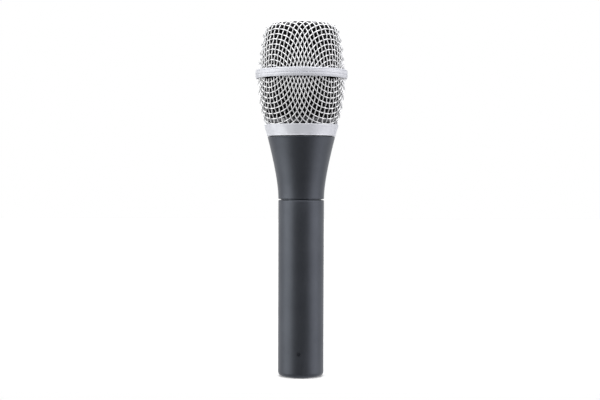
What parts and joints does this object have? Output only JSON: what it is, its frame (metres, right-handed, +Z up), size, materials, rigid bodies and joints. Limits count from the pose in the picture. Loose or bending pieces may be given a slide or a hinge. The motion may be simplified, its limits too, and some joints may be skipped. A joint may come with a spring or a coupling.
{
  "type": "dynamic microphone",
  "caption": "Handheld vocal microphone: woven wire grille with a belt ring, conical collar, flared neck and straight handle with a pin connector in its base.",
  "frame": {"origin": "centre of the base, where the microphone stands on its connector end", "axes": "+Z up along the handle to the grille, -Y towards the front"},
  "size_m": [0.0484, 0.0484, 0.186],
  "materials": {
    "paint": "satin dark grey metallic paint",
    "silver": "satin silver plating",
    "wire": "bright woven wire",
    "foam": "open-cell black foam",
    "rubber": "matt black",
    "plastic": "moulded black",
    "brass": "gold plated",
    "copper": "enamelled copper wire",
    "iron": "zinc plated iron",
    "magnet": "ground magnet alloy",
    "steel": "nickel plated",
    "film": "thin polyester film",
    "felt": "pressed felt",
    "board": "laminate",
    "red_lead": "insulation",
    "black_lead": "insulation"
  },
  "bodies": {
    "handle": {"handle_tube": "paint", "neck_housing": "paint", "shock_mount": "rubber", "transformer_core": "iron", "transformer_bobbin": "plastic", "transformer_winding": "copper", "transformer_cushion": "foam", "connector_shell": "steel", "connector_insert": "plastic", "pin_1": "brass", "pin_2": "brass", "pin_3": "brass", "ground_lug": "steel", "set_screw": "steel", "lead_hot": "red_lead", "lead_cold": "black_lead", "lead_pin_2": "red_lead", "lead_pin_3": "black_lead", "lead_ground": "black_lead"},
    "cartridge": {"cartridge_case": "plastic", "resonator_cap": "steel", "acoustic_screen": "felt", "diaphragm_frame": "brass", "top_plate": "iron", "pole_piece": "iron", "magnet": "magnet", "magnet_yoke": "iron", "rear_chamber": "steel", "chamber_felt": "felt", "terminal_board": "board", "terminal_1": "brass", "terminal_2": "brass"},
    "moving_coil": {"diaphragm": "film", "voice_coil": "copper"},
    "seal": {"thread_seal": "rubber"},
    "clamp_band": {"mesh_clamp_ring": "steel"},
    "grille": {"grille_upper_mesh": "wire", "grille_lower_mesh": "wire", "belt_ring": "silver", "grille_collar": "silver", "foam_upper": "foam", "foam_lower": "foam"}
  },
  "joints": [
    {"name": "grille_lift", "type": "slide", "parent": "handle", "child": "seal", "axis": [0, 0, 1], "range_m": [0, 0.06]},
    {"name": "thread_advance", "type": "slide", "parent": "seal", "child": "clamp_band", "axis": [0, 0, 1], "range_m": [0, 0.0046]},
    {"name": "grille_unscrew", "type": "hinge", "parent": "clamp_band", "child": "grille", "pos_m": [0, 0, 0.13], "axis": [0, 0, 1], "range_deg": [0, 1620]},
    {"name": "cartridge_float", "type": "slide", "parent": "handle", "child": "cartridge", "axis": [0, 0, 1], "range_m": [-0.0008, 0.0008], "stiffness_N_per_m": 2000, "springref_m": 0.0003, "deforming": ["shock_mount", "lead_hot", "lead_cold"]},
    {"name": "diaphragm_travel", "type": "slide", "parent": "cartridge", "child": "moving_coil", "axis": [0, 0, 1], "range_m": [-0.0003, 0.0003], "stiffness_N_per_m": 300, "springref_m": 0.00004}
  ],
  "couplings": [
    {"joint": "thread_advance", "follows": "grille_unscrew", "m_per_rad": 0.00015915}
  ]
}
